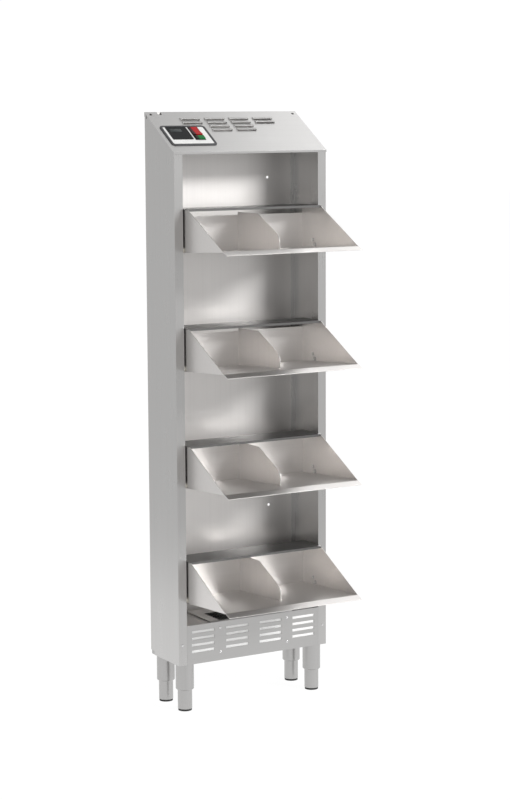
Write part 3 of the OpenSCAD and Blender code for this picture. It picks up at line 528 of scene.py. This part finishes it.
def build_gasket(shape):
    """Rubber bead round the control panel, rounded on top and a little wider than its seat."""
    seat = SlopedBox("control_gasket")
    height = 2 * seat.half_h
    middle = GASKET_CORNER + (GASKET_LIP - GASKET_WIDTH) / 2
    half_width = (GASKET_LIP + GASKET_WIDTH) / 2
    rings = []
    for corner, (sx, sy) in enumerate(((1, 1), (-1, 1), (-1, -1), (1, -1))):
        hub = Vector((sx * (seat.half_w - GASKET_CORNER), sy * (seat.half_d - GASKET_CORNER)))
        for step in range(GASKET_STEPS + 1):
            turn = math.radians(90 * (corner + step / GASKET_STEPS))
            outward = Vector((math.cos(turn), math.sin(turn)))
            ring = []
            for part in range(GASKET_STEPS + 1):
                angle = math.pi * part / GASKET_STEPS
                spot = hub + outward * (middle + half_width * math.cos(angle))
                rise = height * math.sin(angle) ** GASKET_FULLNESS
                ring.append(shape.verts.new(seat.point(spot.x, spot.y, rise)))
            rings.append(ring)
    for i, ring in enumerate(rings):
        bridge(shape, ring, rings[(i + 1) % len(rings)])


# ---------------------------------------------------------------- casing screws

SCREW_SIDES = 36
# radius and rise over the seat, from the head's rim to its top
HEAD_PROFILE = (
    (4.2 * MM, 0.0),
    (4.1 * MM, 0.45 * MM),
    (3.75 * MM, 1.0 * MM),
    (3.1 * MM, 1.42 * MM),
    (2.2 * MM, 1.6 * MM),
)
HEAD_HEIGHT = HEAD_PROFILE[-1][1]
SHANK_RADIUS = 2.0 * MM
SOCKET_RADIUS = 1.5 * MM
SOCKET_DEPTH = 1.0 * MM
# turn from one corner of the hexagon to the next
SOCKET_SIDE = math.pi / 3


def build_screws(shape):
    """Button-head screws with a hexagon socket, their heads facing -y."""
    for low, high in islands(nodes["casing_screws"]):
        centre = (low + high) / 2
        seat = low.y + HEAD_HEIGHT
        rings = [(SHANK_RADIUS, high.y - seat, False), (SHANK_RADIUS, 0.0, False)]
        rings += [(radius, -rise, False) for radius, rise in HEAD_PROFILE]
        rings += [(SOCKET_RADIUS, -HEAD_HEIGHT, True), (SOCKET_RADIUS, SOCKET_DEPTH - HEAD_HEIGHT, True)]
        loops = []
        for radius, back, hexagonal in rings:
            loop = []
            for side in range(SCREW_SIDES):
                turn = 2 * math.pi * side / SCREW_SIDES
                reach = radius
                if hexagonal:
                    reach /= math.cos(turn % SOCKET_SIDE - SOCKET_SIDE / 2)
                x = centre.x + reach * math.cos(turn)
                z = centre.z + reach * math.sin(turn)
                loop.append(shape.verts.new((x, seat + back, z)))
            loops.append(loop)
        for first, second in zip(loops, loops[1:]):
            bridge(shape, first, second)
        shape.faces.new(loops[0])
        shape.faces.new(loops[-1])


# ---------------------------------------------------------------- filter fleece

FLEECE_CELL = 2.5 * MM
FLEECE_TUFT = 0.9 * MM
# waves of the noise per metre
FLEECE_TUFT_RATE = 260
# how far the outermost rows of points sink, in tufts
FLEECE_RIM = {0: 1.4, 1: 0.5}
# notches that clear the screw lugs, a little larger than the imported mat's, and how far from the middle they lie
LUG_NOTCH = 8.4 * MM
LUG_SPACING = 113.4 * MM


def build_fleece(shape):
    """Filter mat with a felted face, rounded rims and a notch round each upper screw lug."""
    low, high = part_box("filter_mat")
    columns = round((high.x - low.x) / FLEECE_CELL)
    rows = round((high.z - low.z) / FLEECE_CELL)

    def place(i, j):
        """x and z at a place in the grid of cells."""
        return low.x + (high.x - low.x) * i / columns, low.z + (high.z - low.z) * j / rows

    def kept(i, j):
        """Whether a cell lies outside the lug notches."""
        x, z = place(i + 0.5, j + 0.5)
        return abs(abs(x) - LUG_SPACING) > LUG_NOTCH / 2 or z < high.z - LUG_NOTCH

    grids = []
    for face_y, outward in ((low.y, 1), (high.y, -1)):
        grid = {}
        for i in range(columns + 1):
            for j in range(rows + 1):
                x, z = place(i, j)
                rim = min(i, columns - i, j, rows - j)
                sink = FLEECE_TUFT * FLEECE_RIM.get(rim, 0.0)
                unevenness = noise.noise(Vector((x, outward, z)) * FLEECE_TUFT_RATE)
                tuft = FLEECE_TUFT * (0.5 + 0.5 * unevenness)
                grid[i, j] = shape.verts.new((x, face_y + outward * (sink + 0.5 * tuft), z))
        grids.append(grid)

    sides = {(-1, 0): (0, 0, 0, 1), (1, 0): (1, 0, 1, 1), (0, -1): (0, 0, 1, 0), (0, 1): (0, 1, 1, 1)}
    for i in range(columns):
        for j in range(rows):
            if not kept(i, j):
                continue
            for grid in grids:
                shape.faces.new([grid[i, j], grid[i + 1, j], grid[i + 1, j + 1], grid[i, j + 1]])
            for (di, dj), (a, b, c, d) in sides.items():
                inside = 0 <= i + di < columns and 0 <= j + dj < rows and kept(i + di, j + dj)
                if not inside:
                    corners = ((grids[0], a, b), (grids[0], c, d), (grids[1], c, d), (grids[1], a, b))
                    shape.faces.new([grid[i + right, j + up] for grid, right, up in corners])
    loose = [vert for vert in shape.verts if not vert.link_faces]
    bmesh.ops.delete(shape, geom=loose, context="VERTS")


# ---------------------------------------------------------------- pieces of fine detail

SHARP_ANGLE = math.radians(35)

add_piece("filter_fleece", build_fleece, "filter_fleece", replaced=["filter_mat"])
add_piece("gasket_bead", build_gasket, "grey_rubber", replaced=["control_gasket"])
screws = add_piece("socket_screws", build_screws, "screw_steel", replaced=["casing_screws"])
zone = add_piece("display_zone", build_display_zone, "display_black", finish="display_zone")
for piece in (screws, zone):
    sharpen = piece.modifiers.new("sharp", "EDGE_SPLIT")
    sharpen.split_angle = SHARP_ANGLE

# ---------------------------------------------------------------- camera

# matched to the casing's edges in the photograph; angles are in degrees, lens and sensor in millimetres
CAMERA_PLACE = Vector((-3.0040, -5.1184, 1.7351))
CAMERA_YAW = 30.305
CAMERA_PITCH = 7.996
CAMERA_ROLL = -0.289
CAMERA_LENS = 93.69
CAMERA_SENSOR = 36.0
CAMERA_REACH = 60.0


def add_camera():
    """Camera at the photograph's viewing angle."""
    data = bpy.data.cameras.new("camera")
    data.lens = CAMERA_LENS
    data.sensor_width = CAMERA_SENSOR
    data.sensor_fit = "AUTO"
    data.clip_end = CAMERA_REACH
    camera = bpy.data.objects.new("camera", data)
    bpy.context.scene.collection.objects.link(camera)
    turn = (
        Matrix.Rotation(math.radians(-CAMERA_YAW), 4, "Z")
        @ Matrix.Rotation(math.radians(90 - CAMERA_PITCH), 4, "X")
        @ Matrix.Rotation(math.radians(CAMERA_ROLL), 4, "Z")
    )
    camera.matrix_world = Matrix.Translation(CAMERA_PLACE) @ turn
    bpy.context.scene.camera = camera


# ---------------------------------------------------------------- light and studio

SEEN_RAYS = ("Is Camera Ray", "Is Glossy Ray", "Is Transmission Ray")
VIEW_AXIS = Vector((math.sin(math.radians(CAMERA_YAW)), math.cos(math.radians(CAMERA_YAW)), 0))
WORLD_LIGHT = 0.7
BACKDROP_STRENGTH = 1.03
STUDIO_GREY = 0.68
# cosines of the angle to the view axis between which the backdrop turns white
BACKDROP_EDGE = (0.75, 0.94)
FLOOR_SIZE = 30.0
FLOOR_TONE = 0.9
FLOOR_ROUGHNESS = 0.9
FLOOR_GLOW = 1.05
FLOOR_GLOW_SHARE = 0.9
FLOOR_GREY = 0.68
# metres along the view axis from the origin between which the floor turns white
FLOOR_NEAR_EDGE = (-1.7, -0.95)
# the same at the sides of a fan on the floor, as cosines of the angle to the view axis at its point
FLOOR_SIDE_EDGE = (0.95, 0.985)
FLOOR_FAN_POINT = Vector((CAMERA_PLACE.x, CAMERA_PLACE.y, 0))


def add_softbox(name, place, aim, width, height, power):
    """Rectangular lamp that faces a point."""
    data = bpy.data.lights.new(name, "AREA")
    data.shape = "RECTANGLE"
    data.size = width
    data.size_y = height
    data.energy = power
    lamp = bpy.data.objects.new(name, data)
    bpy.context.scene.collection.objects.link(lamp)
    lamp.location = place
    lamp.rotation_euler = (Vector(aim) - Vector(place)).to_track_quat("-Z", "Y").to_euler()


def seen_ray(tree):
    """A value that is 1 for rays that show the surroundings and 0 for those that only light."""
    path = add_node(tree, "ShaderNodeLightPath")
    value = path.outputs[SEEN_RAYS[0]]
    for kind in SEEN_RAYS[1:]:
        value = plain_math(tree, "MAXIMUM", value, path.outputs[kind])
    return value


def shade(tree, place, direction, edge, grey):
    """Tone that turns from grey to white as place crosses an edge along a direction."""
    distance = vector_math(tree, "DOT_PRODUCT", place, direction)
    return map_range(tree, distance, edge, (grey, 1.0), interpolation_type="SMOOTHSTEP")


def add_world():
    """White backdrop behind the cabinet that turns to pale grey all round the studio."""
    world = bpy.data.worlds.new("studio")
    bpy.context.scene.world = world
    world.use_nodes = True
    tree = world.node_tree
    light = tree.nodes["Background"]
    feed(tree, light.inputs["Color"], (1, 1, 1, 1))
    feed(tree, light.inputs["Strength"], WORLD_LIGHT)
    direction = add_node(tree, "ShaderNodeTexCoord").outputs["Generated"]
    tone = shade(tree, direction, VIEW_AXIS, BACKDROP_EDGE, STUDIO_GREY)
    seen = add_node(tree, "ShaderNodeBackground", {"Color": tone, "Strength": BACKDROP_STRENGTH})
    inputs = {0: seen_ray(tree), 1: light.outputs[0], 2: seen.outputs[0]}
    mix = add_node(tree, "ShaderNodeMixShader", inputs)
    feed(tree, tree.nodes["World Output"].inputs["Surface"], mix.outputs[0])


def floor_material():
    """White under and behind the cabinet and grey elsewhere, with a share left for shadows."""
    material = bpy.data.materials.new("floor_white")
    material.use_nodes = True
    tree = material.node_tree
    surface = tree.nodes["Principled BSDF"]
    feed(tree, surface.inputs["Base Color"], (FLOOR_TONE, FLOOR_TONE, FLOOR_TONE, 1))
    feed(tree, surface.inputs["Roughness"], FLOOR_ROUGHNESS)
    feed(tree, surface.inputs["Specular IOR Level"], 0.0)
    place = add_node(tree, "ShaderNodeTexCoord").outputs["Object"]
    outward = vector_math(tree, "NORMALIZE", vector_math(tree, "SUBTRACT", place, FLOOR_FAN_POINT))
    near = shade(tree, place, VIEW_AXIS, FLOOR_NEAR_EDGE, FLOOR_GREY)
    sides = shade(tree, outward, VIEW_AXIS, FLOOR_SIDE_EDGE, FLOOR_GREY)
    tone = plain_math(tree, "MINIMUM", near, sides)
    glow = add_node(tree, "ShaderNodeEmission", {"Color": tone, "Strength": FLOOR_GLOW})
    share = plain_math(tree, "MULTIPLY", seen_ray(tree), FLOOR_GLOW_SHARE)
    mix = add_node(tree, "ShaderNodeMixShader", {0: share, 1: surface.outputs[0], 2: glow.outputs[0]})
    feed(tree, tree.nodes["Material Output"].inputs["Surface"], mix.outputs[0])
    return material


def add_floor():
    """Pale floor that keeps the cabinet's soft shadow."""
    mesh = bpy.data.meshes.new("floor")
    size = FLOOR_SIZE
    corners = [(-size, -size, 0), (size, -size, 0), (size, size, 0), (-size, size, 0)]
    mesh.from_pydata(corners, [], [(0, 1, 2, 3)])
    mesh.materials.append(floor_material())
    floor = bpy.data.objects.new("floor", mesh)
    bpy.context.scene.collection.objects.link(floor)


add_camera()
add_world()
add_floor()
add_softbox("front_right", (9.12, -13.52, 8.51), aim=(0, 0, 0.9), width=7.0, height=3.0, power=1900)
add_softbox("overhead", (2.0, 0.75, 3.3), aim=(0.1, 0.05, 1.67), width=1.6, height=1.6, power=7)

scene = bpy.context.scene
scene.view_settings.view_transform = "Standard"

bpy.context.view_layer.update()
